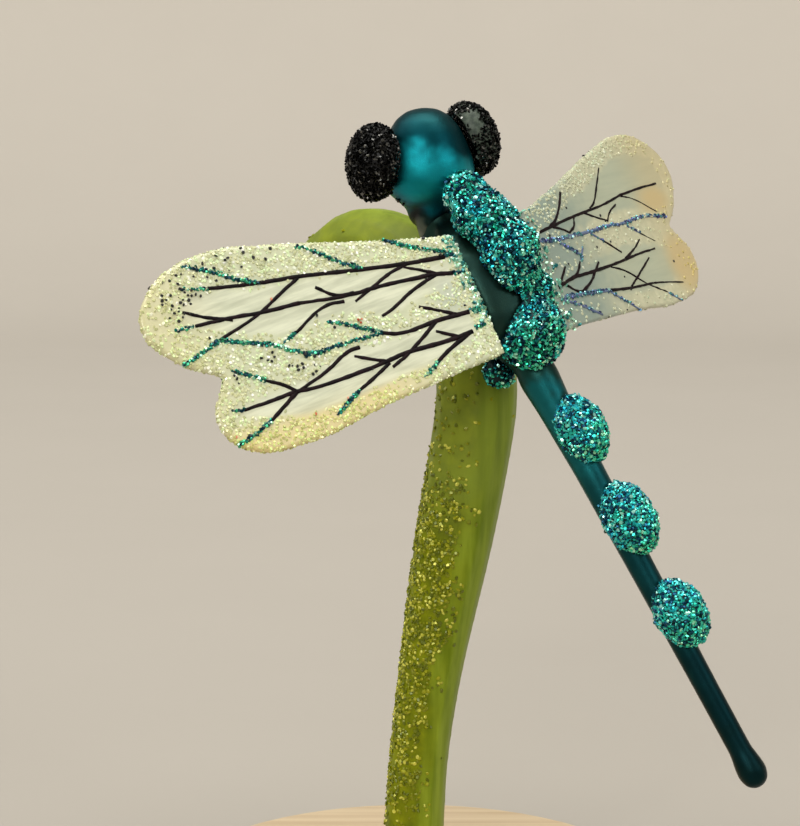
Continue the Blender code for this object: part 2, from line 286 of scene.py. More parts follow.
def merged_copy(node, name):
    """A copy of a solid with its loose triangles joined up."""
    piece = new_object(name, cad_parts[node].data.copy())
    piece.data.materials.clear()
    merge(piece, WELD)
    bpy.ops.mesh.customdata_custom_splitnormals_clear()
    return piece


def melt(piece, grain, passes, inset):
    """Even out a piece's skin, round its edges and draw it in."""
    work(piece, "REMESH", mode="VOXEL", voxel_size=grain)
    work(piece, "SMOOTH", factor=0.5, iterations=passes)
    if inset:
        work(piece, "DISPLACE", strength=-inset, mid_level=0.0)
    piece.data.shade_smooth()


def ball(centre, radius):
    """A ball of glass."""
    bpy.ops.mesh.primitive_ico_sphere_add(subdivisions=4, radius=radius)
    piece = bpy.context.object
    settle(piece, Matrix.Translation(centre))
    return piece


def placed(frame_of, fillets):
    """Fillets given in millimetres in one frame, in metres and in place."""
    return [(frame_of @ (Vector(centre) * MM), radius * MM) for centre, radius in fillets]


def fuse(name, nodes, grain, passes, inset, fillets=()):
    """One melted skin over solids that touch: joined, swelled until they meet, and drawn back in.

    Fillets are balls, (centre, radius), that fill out the joints.
    """
    copies = [merged_copy(node, name) for node in nodes] + [ball(*fillet) for fillet in fillets]
    pick(*copies)
    if len(copies) > 1:
        bpy.ops.object.join()
    piece = copies[0]
    piece.name = name
    work(piece, "DISPLACE", strength=SWELL, mid_level=0.0)
    melt(piece, grain, passes, inset + SWELL)
    return piece


def nip(piece, at, share, reach):
    """Draw a piece in round one place on its length, all in its own frame and in millimetres."""
    edit(piece)
    select_where(piece, lambda vert: abs(vert.co.y / MM - at[1]) < 0.2, "vertices")
    bpy.ops.transform.resize(value=(share, 1.0, share), center_override=Vector(at) * MM,
                             use_proportional_edit=True, proportional_edit_falloff="SMOOTH",
                             proportional_size=reach * MM)
    done()


def lump(piece, width, height):
    """Push a piece's skin in and out in soft lumps, sized in millimetres."""
    cloud = bpy.data.textures.get("lumps") or bpy.data.textures.new("lumps", "CLOUDS")
    cloud.noise_scale = width * MM
    work(piece, "DISPLACE", texture=cloud, texture_coords="LOCAL", strength=height * MM, mid_level=0.5)


def wear(piece, finish, slot, *nodes):
    """Finish a piece, ride it on the one body and let it stand for its solids."""
    piece.data.materials.clear()
    piece.data.materials.append(finish)
    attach(piece, "root")
    if nodes:
        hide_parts(*nodes)


def unwrap(piece):
    """Lay the piece's own shape out flat, as the map that its coat is placed on."""
    edit(piece, "SELECT")
    bpy.ops.uv.smart_project(angle_limit=math.radians(66.0), island_margin=0.01)
    done()
    piece.data.uv_layers.active.name = COAT_MAP


def paint(piece, name, rule):
    """Store a rule's value at every vertex; a rule reads a place and a normal."""
    layer = piece.data.attributes.get(name) or piece.data.attributes.new(name, "FLOAT", "POINT")
    layer.data.foreach_set("value", [rule(vert.co, vert.normal) for vert in piece.data.vertices])


def ease(value, low, high):
    """0 below low, 1 above high and a smooth step between."""
    part = max(0.0, min(1.0, (value - low) / (high - low)))
    return part * part * (3.0 - 2.0 * part)


def wavering(spot, layer, fineness):
    """Soft noise over a wing, from about -1 to 1; each layer is another pattern."""
    return noise.noise(Vector((*spot, layer)) * fineness)


def depth(spot, outline):
    """How far a spot lies inside a closed outline; negative outside it."""
    nearest = math.inf
    inside = False
    for (ax, ay), (bx, by) in zip(outline, outline[1:] + outline[:1]):
        px, py, ex, ey = spot[0] - ax, spot[1] - ay, bx - ax, by - ay
        along = max(0.0, min(1.0, (px * ex + py * ey) / (ex * ex + ey * ey)))
        nearest = min(nearest, math.hypot(px - along * ex, py - along * ey))
        if (ay > spot[1]) != (by > spot[1]) and px < ex * py / ey:
            inside = not inside
    return nearest if inside else -nearest


def nearness(strokes):
    """A rule for how far a spot is from the middle of any of these strokes."""
    spots = []
    for _, points in strokes:
        for start, end in zip(points, points[1:]):
            steps = math.ceil(math.dist(start, end) / STROKE_STEP)
            first, last = Vector((*start, 0.0)), Vector((*end, 0.0))
            spots += [first.lerp(last, step / steps) for step in range(steps + 1)]
    tree = kdtree.KDTree(len(spots))
    for number, spot in enumerate(spots):
        tree.insert(spot, number)
    tree.balance()
    return lambda spot: tree.find(Vector((*spot, 0.0)))[2]


# Node helpers

def add(tree, kind, inputs=None, **settings):
    """Add a node; an input is a value, or the output that it is linked to."""
    made = tree.nodes.new(kind)
    for key, value in settings.items():
        setattr(made, key, value)
    for key, value in (inputs or {}).items():
        if isinstance(value, bpy.types.NodeSocket):
            tree.links.new(value, made.inputs[key])
        else:
            made.inputs[key].default_value = value
    return made


def use(tree, node_group, **inputs):
    """Add a node group to a material; returns its outputs."""
    return add(tree, "ShaderNodeGroup", inputs, node_tree=node_group).outputs


def figure(tree, operation, *values):
    """What a Math node makes of these values."""
    return add(tree, "ShaderNodeMath", dict(enumerate(values)), operation=operation).outputs["Value"]


def blend(tree, share, first, second, **settings):
    """A colour between two, by a share that is a value, an output or the name of an attribute."""
    if isinstance(share, str):
        share = add(tree, "ShaderNodeAttribute", attribute_name=share).outputs["Fac"]
    return add(tree, "ShaderNodeMix", {"Factor": share, "A": first, "B": second}, data_type="RGBA",
               **settings).outputs["Result"]


def climb(tree, value, low, high, **settings):
    """A share that goes from 0 to 1 as a value goes from low to high."""
    return add(tree, "ShaderNodeMapRange", {"Value": value, "From Min": low, "From Max": high},
               **settings).outputs["Result"]


def group(name, kind, inputs, outputs, **defaults):
    """An empty node group with these sockets, each a (label, kind), and its two end nodes."""
    tree = bpy.data.node_groups.new(name, kind)
    for way, sockets in (("INPUT", inputs), ("OUTPUT", outputs)):
        for label, socket in sockets:
            made = tree.interface.new_socket(label, in_out=way, socket_type=f"NodeSocket{socket}")
            if label in defaults:
                made.default_value = defaults[label]
    return tree, tree.nodes.new("NodeGroupInput"), tree.nodes.new("NodeGroupOutput")


def strewing():
    """Geometry nodes that lay chips over a skin, each turned and sized its own way."""
    numbers = [(label, "Float") for label in ("Spacing", "Size", "Spread", "Tilt", "Lift")]
    tree, start, end = group("strewn_chips", "GeometryNodeTree",
                             [("Skin", "Geometry"), ("Chip", "Object"), *numbers, ("Seed", "Int")],
                             [("Chips", "Geometry")])
    given = start.outputs

    def named(name, kind="FLOAT_VECTOR"):
        """What a named attribute holds."""
        return add(tree, "GeometryNodeInputNamedAttribute", {"Name": name},
                   data_type=kind).outputs["Attribute"]

    def store(geometry, name, value, kind, domain="POINT"):
        """The geometry with a value kept on it under a name."""
        return add(tree, "GeometryNodeStoreNamedAttribute",
                   {"Geometry": geometry, "Name": name, "Value": value},
                   data_type=kind, domain=domain).outputs["Geometry"]

    def scaled(vector, share):
        """A vector times a number."""
        return add(tree, "ShaderNodeVectorMath", {0: vector, "Scale": share},
                   operation="SCALE").outputs["Vector"]

    def drawn(number, low, high, kind="FLOAT"):
        """A value drawn for each chip between two bounds; each number is a draw of its own."""
        first, output = {"FLOAT": (2, 1), "FLOAT_VECTOR": (0, 0)}[kind]
        seed = figure(tree, "ADD", given["Seed"], 1000.0 * number)
        return add(tree, "FunctionNodeRandomValue", {first: low, first + 1: high, "Seed": seed},
                   data_type=kind).outputs[output]

    spots = add(tree, "GeometryNodeDistributePointsOnFaces",
                {"Mesh": given["Skin"], "Distance Min": given["Spacing"], "Density Max": MOST_CHIPS,
                 "Density Factor": named("cover", "FLOAT"), "Seed": given["Seed"]},
                distribute_method="POISSON").outputs
    points = store(spots["Points"], "tone", drawn(1, 0.0, 1.0), "FLOAT")
    points = store(points, "root", named(COAT_MAP), "FLOAT_VECTOR")
    rise = figure(tree, "MULTIPLY", drawn(2, 0.0, 2.0), given["Lift"])
    points = add(tree, "GeometryNodeSetPosition",
                 {"Geometry": points, "Offset": scaled(spots["Normal"], rise)}).outputs["Geometry"]
    lean = add(tree, "ShaderNodeCombineXYZ",
               {"X": given["Tilt"], "Y": given["Tilt"], "Z": math.pi}).outputs["Vector"]
    turn = drawn(3, scaled(lean, -1.0), lean, "FLOAT_VECTOR")
    spin = add(tree, "FunctionNodeEulerToRotation", {"Euler": turn}).outputs["Rotation"]
    facing = add(tree, "FunctionNodeRotateRotation", {"Rotation": spots["Rotation"], "Rotate By": spin},
                 rotation_space="LOCAL").outputs["Rotation"]
    least = figure(tree, "SUBTRACT", 1.0, given["Spread"])
    most = figure(tree, "ADD", 1.0, given["Spread"])
    size = scaled(drawn(4, least, most, "FLOAT_VECTOR"), given["Size"])
    chip = add(tree, "GeometryNodeObjectInfo", {"Object": given["Chip"]}).outputs["Geometry"]
    laid = add(tree, "GeometryNodeInstanceOnPoints",
               {"Points": points, "Instance": chip, "Rotation": facing, "Scale": size}).outputs["Instances"]
    real = add(tree, "GeometryNodeRealizeInstances", {"Geometry": laid}).outputs["Geometry"]
    patch = scaled(named("across"), PATCH)
    spot = add(tree, "ShaderNodeVectorMath", {0: named("root"), 1: patch}, operation="ADD").outputs["Vector"]
    kept = store(real, COAT_MAP, spot, "FLOAT2", "CORNER")
    for name in ("root", "across", "cover"):
        kept = add(tree, "GeometryNodeRemoveAttribute", {"Geometry": kept, "Name": name}).outputs["Geometry"]
    tree.links.new(kept, end.inputs["Chips"])
    return tree


def make_chip():
    """One chip of glitter: a six-sided flake a unit across, narrower on top."""
    bpy.ops.mesh.primitive_cylinder_add(vertices=6, radius=0.5, depth=0.3)
    chip = bpy.context.object
    chip.name = "chip"
    edit(chip)
    select_where(chip, lambda face: face.normal.z > 0.9)
    bpy.ops.transform.resize(value=(0.7, 0.7, 1.0))
    done()
    chip.data.uv_layers.remove(chip.data.uv_layers[0])
    layer = chip.data.attributes.new("across", "FLOAT_VECTOR", "POINT")
    for vert, value in zip(chip.data.vertices, layer.data):
        value.vector = vert.co
    return chip


def strew(name, base, finish, slot, seed, spacing, size, tilt, lift, spread=0.2):
    """Cover a skin with chips, as thickly as its cover says; lengths are in millimetres."""
    piece = new_object(name, base.data.copy())
    step = piece.modifiers.new("strewn", "NODES")
    step.node_group = STREWING
    given = {"Chip": CHIP, "Spacing": spacing * MM, "Size": size * MM, "Spread": spread, "Tilt": tilt,
             "Lift": lift * MM, "Seed": seed}
    for item in STREWING.interface.items_tree:
        if item.name in given:
            step[item.identifier] = given[item.name]
    pick(piece)
    bpy.ops.object.modifier_apply(modifier=step.name)
    wear(piece, finish, slot)


# Finishes

def rgb(red, green, blue):
    """A screen colour, 0 to 255, as the linear colour that a socket takes."""
    return [((part / 255.0 + 0.055) / 1.055) ** 2.4 for part in (red, green, blue)] + [1.0]


def own_place(tree, place=Matrix(), stretch=(1.0, 1.0, 1.0)):
    """Where a point lies in a piece's own frame, in millimetres; patterns come out this much stretched."""
    seen = add(tree, "ShaderNodeTexCoord").outputs["Object"]
    return add(tree, "ShaderNodeMapping",
               {"Vector": seen, "Location": place.translation, "Rotation": place.to_euler(),
                "Scale": [MM * part for part in stretch]}, vector_type="TEXTURE").outputs["Vector"]


def make_mottle():
    """Soft cloudy variation between two colours, with a height to match."""
    tree, start, end = group("mottle", "ShaderNodeTree",
                             [("Vector", "Vector"), ("Scale", "Float"), ("Contrast", "Float"),
                              ("Dark", "Color"), ("Light", "Color")],
                             [("Colour", "Color"), ("Height", "Float")], Scale=1.0, Contrast=0.2)
    given = start.outputs
    cloud = add(tree, "ShaderNodeTexNoise", {"Vector": given["Vector"], "Scale": given["Scale"],
                                             "Detail": 4.0, "Roughness": 0.55}).outputs["Fac"]
    low = figure(tree, "SUBTRACT", 0.5, given["Contrast"])
    high = figure(tree, "ADD", 0.5, given["Contrast"])
    share = climb(tree, cloud, low, high, interpolation_type="SMOOTHSTEP")
    tree.links.new(blend(tree, share, given["Dark"], given["Light"]), end.inputs["Colour"])
    tree.links.new(cloud, end.inputs["Height"])
    return tree


def make_tones():
    """Four colours of glitter, shared out among the chips by their tone."""
    tree, start, end = group("chip_tones", "ShaderNodeTree",
                             [(label, "Color") for label in TONES_OF_CHIPS], [("Colour", "Color")])
    tone = add(tree, "ShaderNodeAttribute", attribute_name="tone").outputs["Fac"]
    colour = start.outputs[TONES_OF_CHIPS[0]]
    for label, (low, high) in zip(TONES_OF_CHIPS[1:], TONE_STEPS):
        colour = blend(tree, climb(tree, tone, low, high), colour, start.outputs[label])
    tree.links.new(colour, end.inputs["Colour"])
    return tree


def blank(name, roughness, **sockets):
    """A material with its shader's own values set; returns it, its tree and its shader."""
    made = bpy.data.materials.new(name)
    made.use_nodes = True
    shader = made.node_tree.nodes["Principled BSDF"]
    shader.inputs["Roughness"].default_value = roughness
    for key, value in sockets.items():
        shader.inputs[key.replace("_", " ")].default_value = value
    return made, made.node_tree, shader


def surface(tree, shader, colour, height=None, relief=0.0, strength=1.0):
    """Feed a shader its colour, and fine relief that is this many millimetres deep."""
    tree.links.new(colour, shader.inputs["Base Color"])
    if relief:
        made = add(tree, "ShaderNodeBump", {"Height": height, "Distance": relief * MM, "Strength": strength})
        tree.links.new(made.outputs["Normal"], shader.inputs["Normal"])


def mottled(name, roughness, dark, light, scale=1.0, relief=0.0, stretch=(1.0, 1.0, 1.0), contrast=0.2,
            **sockets):
    """A finish that varies softly between two colours."""
    made, tree, shader = blank(name, roughness, **sockets)
    cloud = use(tree, MOTTLE, Vector=own_place(tree, stretch=stretch), Scale=scale, Contrast=contrast,
                Dark=rgb(*dark), Light=rgb(*light))
    surface(tree, shader, cloud["Colour"], cloud["Height"], relief)
    return made


def glue(name, dark, light):
    """The skin that glitter sits in."""
    return mottled(name, 0.4, dark, light, scale=2.0, relief=0.05, Specular_IOR_Level=0.2)


def lengthwise(tree, spot, low, high, stops, slant):
    """Colours that follow one another along a piece's own Y axis; X slants them."""
    own = add(tree, "ShaderNodeSeparateXYZ", {"Vector": spot}).outputs
    share = climb(tree, figure(tree, "MULTIPLY_ADD", own["X"], slant, own["Y"]), low, high)
    cloud = add(tree, "ShaderNodeTexNoise", {"Vector": spot, "Scale": 0.35, "Detail": 2.0}).outputs["Fac"]
    wander = figure(tree, "ADD", cloud, -0.5)
    ramp = add(tree, "ShaderNodeValToRGB", {"Fac": figure(tree, "MULTIPLY_ADD", wander, WANDER, share)})
    ramp.color_ramp.interpolation = "EASE"
    marks = ramp.color_ramp.elements
    while len(marks) < len(stops):
        marks.new(0.5)
    for mark, (position, colour) in zip(marks, stops):
        mark.position = position
        mark.color = rgb(*colour)
    return ramp.outputs["Color"]


def satin_glass(name, place, low, high, stops, slant=0.0):
    """Lustred teal glass whose colour changes along the piece, painted reflections and shade included, with
    painted shade dark in its folds.
    """
    made, tree, shader = blank(name, 0.4, Metallic=0.88, Specular_IOR_Level=0.2)
    spot = own_place(tree, place)
    colour = lengthwise(tree, spot, low, high, stops, slant)
    darker = blend(tree, 0.2, colour, (0.0, 0.03, 0.04, 1.0))
    cloud = use(tree, MOTTLE, Vector=spot, Scale=0.5, Contrast=0.25, Dark=darker, Light=colour)
    fine = use(tree, MOTTLE, Vector=spot, Scale=9.0)
    # painted shade: the folds darken towards near-black
    colour = blend(tree, "fold_and_shade", cloud["Colour"], rgb(6, 10, 10))
    surface(tree, shader, colour, fine["Height"], relief=0.02)
    return made


def glitter(name, roughness, metallic, tones, warm=None, drift=None):
    """Chips in four tones; the main one drifts in patches, and skin painted warm tints its chips."""
    made, tree, shader = blank(name, roughness, Metallic=metallic)
    colours = {label: rgb(*tone) for label, tone in zip(TONES_OF_CHIPS, tones)}
    if drift:
        colours["Main"] = use(tree, MOTTLE, Vector=own_place(tree), Scale=0.35, Contrast=0.12,
                              Dark=colours["Main"], Light=rgb(*drift))["Colour"]
    colour = use(tree, TONES, **colours)["Colour"]
    if warm:
        colour = blend(tree, "warm", colour, rgb(*warm), blend_type="MULTIPLY")
    surface(tree, shader, colour)
    return made


def wing_finish(name, rim, blade, warm, frost, gleam):
    """Milky glass with smooth brushed blades, a warm tint, frosted roots and veins that show below."""
    place = WING_FRAMES[name]
    made, tree, shader = blank(f"{name}_pearl", 0.34, Transmission_Weight=gleam, Coat_Weight=0.3,
                               Coat_Roughness=0.12)
    streaks = own_place(tree, place, stretch=(6.0, 0.7, 2.0))
    brushed = use(tree, MOTTLE, Vector=streaks, Scale=1.0, Contrast=0.22,
                  Dark=rgb(*blade[0]), Light=rgb(*blade[1]))
    milky = use(tree, MOTTLE, Vector=own_place(tree, place), Scale=1.2,
                Dark=rgb(*rim[0]), Light=rgb(*rim[1]))
    colour = blend(tree, "blade", milky["Colour"], brushed["Colour"])
    for share, tint in (("warm", warm), ("frost", frost), ("ghost", (84, 92, 84))):
        colour = blend(tree, share, colour, rgb(*tint))
    surface(tree, shader, colour, brushed["Height"], relief=0.06, strength=0.5)
    return made


def stem_finish():
    """Green glass, olive on the glittered side; painted light makes it paler on the other side and up top.
    """
    made, tree, shader = blank("green_glass", 0.45, Specular_IOR_Level=0.15)
    streaks = use(tree, MOTTLE, Vector=own_place(tree, stretch=(1.2, 1.2, 14.0)), Scale=0.8,
                  Dark=rgb(98, 118, 0), Light=rgb(146, 164, 44))
    cloud = use(tree, MOTTLE, Vector=own_place(tree), Scale=0.4,
                Dark=rgb(98, 108, 0), Light=rgb(132, 140, 0))
    colour = blend(tree, "olive", streaks["Colour"], cloud["Colour"])
    # painted light: paler on the lit right side, and in the upper half against the wing's shadow
    colour = blend(tree, "painted_light", colour, rgb(142, 160, 66))
    surface(tree, shader, colour, streaks["Height"], relief=0.12, strength=0.4)
    return made


# The dragonfly's body

def fold_and_shade(co, normal):
    """How deep the neck's twisted folds are at a place in the head's frame, from 0 to 1; this also sets
    their painted shade.
    """
    spot = co / MM
    low, high = FOLD_ENDS
    rise, fall = FOLD_FADES
    turn = FOLDS * math.atan2(spot.z, spot.x) + FOLD_TWIST * spot.y
    share = ease(spot.y, low, low + rise) * (1.0 - ease(spot.y, high - fall, high))
    return share * (0.5 + 0.5 * math.cos(turn)) ** 2


def crease(piece):
    """Press the folds into a piece that lies in the head's frame, and keep their depth for the painted shade
    in them.
    """
    paint(piece, "fold_and_shade", fold_and_shade)
    folded = []
    for vert in piece.data.vertices:
        folded.extend(vert.co - vert.normal * FOLD_DEPTH * MM * fold_and_shade(vert.co, vert.normal))
    piece.data.vertices.foreach_set("co", folded)
    piece.data.update()


def stray(co, normal):
    """A few black chips stray onto the head below the left eye."""
    return 0.7 * ease(0.9 - (HEAD.inverted() @ co / MM - Vector(STRAY_AT)).length, 0.0, 0.4)


def bare(co):
    """0 on the right eye's bare patch, 1 away from it, with a ragged edge."""
    ragged = 1.3 * noise.noise(co / MM * 1.8)
    return ease((HEAD.inverted() @ co / MM - Vector(BARE_PATCH_AT)).length + ragged, 0.9, 1.6)


def build_glass_body():
    """The head on its neck, and the thorax that runs out into the tail, in satin teal glass."""
    head = fuse("head_glass", ("head", "neck"), grain=0.15 * MM, passes=80, inset=0.0,
                fillets=placed(HEAD, NECK_FILLETS))
    settle(head, HEAD.inverted())
    crease(head)
    settle(head, HEAD)
    unwrap(head)
    paint(head, "cover", stray)
    strew("head_specks", head, BLACK_CHIPS, "black_glitter", 24, spacing=0.3, size=0.34, tilt=0.8, lift=0.08)
    wear(head, satin_glass("teal_head", HEAD, -10.0, 4.2, HEAD_COLOURS_AND_PAINTED_LIGHT, slant=0.32), "teal_glass",
         "head", "neck")
    body = fuse("body_glass", ("thorax", "tail"), grain=0.15 * MM, passes=80, inset=0.0,
                fillets=placed(BODY, NAPE_FILLETS))
    wear(body, satin_glass("teal_body", BODY, -50.0, 14.0, BODY_COLOURS_AND_PAINTED_LIGHT), "teal_glass", "thorax", "tail")


def build_glitter_body():
    """The ridge and the beads, under their coat of teal chips."""
    skin = glue("teal_glue", (2, 24, 28), (6, 48, 52))
    ridge_chips = glitter("ridge_chips", 0.2, 0.8,
                          ((4, 54, 80), (28, 166, 188), (90, 212, 200), (184, 248, 240)),
                          warm=(255, 255, 226), drift=(34, 178, 150))
    bead_chips = glitter("bead_chips", 0.25, 0.7,
                         ((8, 76, 110), (34, 184, 206), (86, 222, 212), (176, 250, 240)),
                         warm=(255, 255, 214), drift=(40, 196, 176))
    coarse = dict(finish=ridge_chips, spacing=0.25, size=0.44, tilt=1.0, lift=0.08, spread=0.45)
    fine = dict(finish=bead_chips, spacing=0.23, size=0.4, tilt=0.8, lift=0.07, spread=0.4)
    for seed, (name, nodes, coat, cover) in enumerate((
            ("ridge", ("ridge_front", "ridge_rear"), coarse, 1.0),
            *((f"bead_{number}", (f"tail_bead_{number}",), fine, 1.0) for number in (1, 2, 3)),
            # the belly bead's thinner cover bares more dark glue, as painted shade under the wing
            ("belly_bead", ("belly_bead",), coarse, 0.7))):
        fillets = placed(BODY, RIDGE_FILLETS) if name == "ridge" else ()
        piece = fuse(f"{name}_core", nodes, grain=0.2 * MM, passes=3, inset=0.1 * MM, fillets=fillets)
        if name == "ridge":
            settle(piece, BODY.inverted())
            nip(piece, RIDGE_NIP, share=0.84, reach=2.0)
            settle(piece, BODY)
        lump(piece, width=1.4, height=0.5)
        lump(piece, width=0.8, height=0.45)
        unwrap(piece)
        paint(piece, "cover", lambda co, normal: cover)
        paint(piece, "warm", lambda co, normal: ease(normal.dot(GREEN_SIDE), -0.1, 0.7))
        strew(f"{name}_glitter", piece, slot="teal_glitter", seed=seed, **coat)
        wear(piece, skin, "teal_glitter", *nodes)


def build_eyes():
    """Both eyes, in black chips; the right one has a bare patch."""
    skin = glue("eye_glass", (54, 64, 56), (84, 94, 82))
    dark = glue("eye_glue", (6, 6, 6), (20, 20, 20))
    for seed, (node, finish) in enumerate((("eye_left", dark), ("eye_right", skin)), 20):
        piece = merged_copy(node, f"{node}_core")
        melt(piece, grain=0.2 * MM, passes=5, inset=0.28 * MM)
        unwrap(piece)
        paint(piece, "cover", lambda co, normal: bare(co) if node == "eye_right" else 1.0)
        strew(f"{node}_glitter", piece, BLACK_CHIPS, "black_glitter", seed, spacing=0.25, size=0.42,
              tilt=1.3, lift=0.08, spread=0.45)
        wear(piece, finish, "black_glitter", node)


# Wings

def per_wing(left, right):
    """A setting for each wing."""
    return dict(wing_left=left, wing_right=right)


def stroke_lines(name, strokes, side, share, height, place):
    """Painted strokes on the face of a wing, as flattened raised lines a share of their stated width."""
    curve = bpy.data.curves.new(name, "CURVE")
    curve.dimensions = "3D"
    curve.bevel_depth = 0.5
    curve.bevel_resolution = 2
    curve.resolution_u = 8
    curve.use_fill_caps = True
    for width, points in strokes:
        line = curve.splines.new("BEZIER")
        line.bezier_points.add(len(points) - 1)
        for number, (point, (out, forward)) in enumerate(zip(line.bezier_points, points)):
            point.co = (side * out, forward, 0.0)
            point.handle_left_type = point.handle_right_type = "AUTO"
            point.radius = share * width * (1.0 - STROKE_TAPER * number / (len(points) - 1))
    piece = new_object(name, curve)
    pick(piece)
    bpy.ops.object.convert(target="MESH")
    merge(piece, STROKE_WELD)
    flat = Matrix.Diagonal((MM, MM, height * MM, 1.0))
    settle(piece, place @ Matrix.Translation((0.0, 0.0, SHEET_TOP * MM * STROKE_SEAT)) @ flat)
    return piece


def build_wing(name, side):
    """One wing: its sheet, its painted veins and its glitter."""
    place = WING_FRAMES[name]
    home = place.inverted()
    face = place.col[2].to_3d()
    from_ink = nearness(INK[name])
    sheet = merged_copy(name, f"{name}_sheet")
    settle(sheet, home)
    for vert in sheet.data.vertices:
        if side * vert.co.x < ROOT_EDGE * MM:
            vert.co.x -= side * ROOT_REACH[name] * MM
    melt(sheet, grain=0.25 * MM, passes=6, inset=0.1 * MM)
    unwrap(sheet)
    settle(sheet, place)

    def on_wing(co):
        """Where a place lies on the wing, as (out, forward) in millimetres."""
        spot = home @ co / MM
        return side * spot.x, spot.y

    def lay(attribute, rule):
        """Paint the sheet by a rule that reads a spot on the wing."""
        paint(sheet, attribute, lambda co, normal: rule(on_wing(co)))

    def blade(spot):
        """1 on the smooth blades and 0 away from them."""
        edge = 0.35 * wavering(spot, 0.0, 0.8)
        return max(ease(depth(spot, outline) + edge, -0.2, 0.35) for outline in BLADES[name])

    def ghost(co, normal):
        """The veins' shadow on the underside."""
        return 0.5 * (1.0 - ease(from_ink(on_wing(co)), 0.1, 0.35)) * ease(-normal.dot(face), 0.0, 0.5)

    def coat(spot):
        """Glitter keeps off the blades and away from the veins."""
        return max(0.0, 1.0 - 1.05 * blade(spot)) * THICKNESS[name](spot) * ease(from_ink(spot), 0.2, 0.4)

    def scatter(label, rule, chips, seed, **laid):
        """Strew chips on the sheet, as thickly as a rule says."""
        lay("cover", rule)
        strew(f"{name}_{label}", sheet, chips, "pearl_glass", seed + side, spread=0.35, **laid)

    lay("blade", blade)
    lay("warm", WARMTH[name])
    lay("frost", FROST[name])
    paint(sheet, "ghost", ghost)
    scatter("glitter", coat, PEARL_CHIPS[name], 40, spacing=0.28, size=0.35, tilt=GLITTER_TILT[name],
            lift=0.02)
    scatter("specks", SPECKLING[name], BLACK_SPECKS, 45, spacing=0.34, size=0.31, tilt=0.2, lift=0.12)
    scatter("root_glitter", ROOT_GLITTER[name], MINT_CHIPS, 48, spacing=0.3, size=0.45, tilt=0.9, lift=0.08)
    if name == "wing_left":
        scatter("red_specks", red_speckling, RED_CHIPS, 52, spacing=0.3, size=0.28, tilt=0.3, lift=0.1)
    wear(sheet, WING_FINISHES[name], "pearl_glass", name)

    ink = stroke_lines(f"{name}_veins", INK[name], side, INK_SHARE[name], INK_HEIGHT, place)
    lump(ink, width=0.7, height=0.14)
    wear(ink, INK_PAINT, "pearl_glass")
    lines = stroke_lines(f"{name}_glitter_lines", GLITTER_LINES[name], side, LINE_SHARE[name], LINE_HEIGHT,
                         place)
    unwrap(lines)
    paint(lines, "cover", lambda co, normal: LINE_COVER[name])
    strew(f"{name}_line_chips", lines, LINE_CHIPS[name], "pearl_glass", 55 + side, spacing=0.23, size=0.38,
          tilt=0.6, lift=0.04)
    wear(lines, LINE_GLUES[name], "pearl_glass")


def left_warmth(spot):
    """A yellow blush along the left wing's trailing edge and tips, fainter on the smooth blade."""
    trailing = ease(2.9 - spot[1], 0.2, 2.8) * ease(spot[0], 4.0, 16.0)
    smooth = ease(depth(spot, BLADES["wing_left"][1]), -0.2, 0.5)
    return 0.85 * trailing * (1.0 - 0.7 * smooth) + 0.35 * ease(spot[0], 25.0, 33.0)


def right_warmth(spot):
    """Two amber patches at the tips of the right wing's lobes, joined by a blush along the edge."""
    fore = ease(3.0 - math.hypot((spot[0] - 27.6) * 0.58, (spot[1] - 10.2) * 1.1), -0.6, 2.4)
    hind = ease(4.0 - math.hypot((spot[0] - 28.0) * 0.8, (spot[1] - 2.4) * 0.7), -0.4, 2.8)
    return max(fore, hind, 0.5 * ease(spot[0], 20.0, 30.0))


def left_frost(spot):
    """A frosted patch in the middle of the left wing's root."""
    return 0.6 * ease(2.8 - math.dist(spot, (3.2, 6.3)), 0.0, 2.4)


def right_frost(spot):
    """Frost over the half of the right wing that is nearer to the body."""
    return 0.85 * ease(15.0 - spot[0] + 2.0 * wavering(spot, 0.0, 1.0), 0.0, 11.0)


def left_speckling(spot):
    """Black specks gather at the left wing's fore tip and leading edge, and behind its middle."""
    tip = ease(3.0 - math.dist(spot, (29.6, 15.3)), 0.0, 1.6)
    leading = ease(spot[1] - 0.22 * spot[0], 9.2, 10.6) * ease(spot[0], 16.0, 20.0)
    middle = max(ease(1.5 - math.dist(spot, place), 0.0, 1.0)
                 for place in ((20.0, 5.4), (22.0, 5.2), (23.9, 6.8)))
    notch = ease(1.1 - math.dist(spot, (27.8, 6.5)), 0.0, 0.6)
    return STRAY_COVER + 0.45 * max(tip, 0.1 * leading, 0.7 * middle, notch)


def red_speckling(spot):
    """A red chip or two at each of the places where they stray."""
    return 1.0 - ease(min(math.dist(spot, speck) for speck in RED_SPECKS), 0.1, 0.3)


def left_root(spot):
    """Mint glitter clumps along the fore half of the left wing's root."""
    return ease(1.5 - spot[0] + 0.9 * wavering(spot, 3.0, 1.3), 0.0, 0.5) * ease(spot[1], 2.4, 3.6)


def right_root(spot):
    """A little mint glitter at the right wing's root."""
    return 0.35 * ease(1.6 - spot[0] + 0.9 * wavering(spot, 5.0, 1.3), 0.0, 1.2)


# Stem and stand

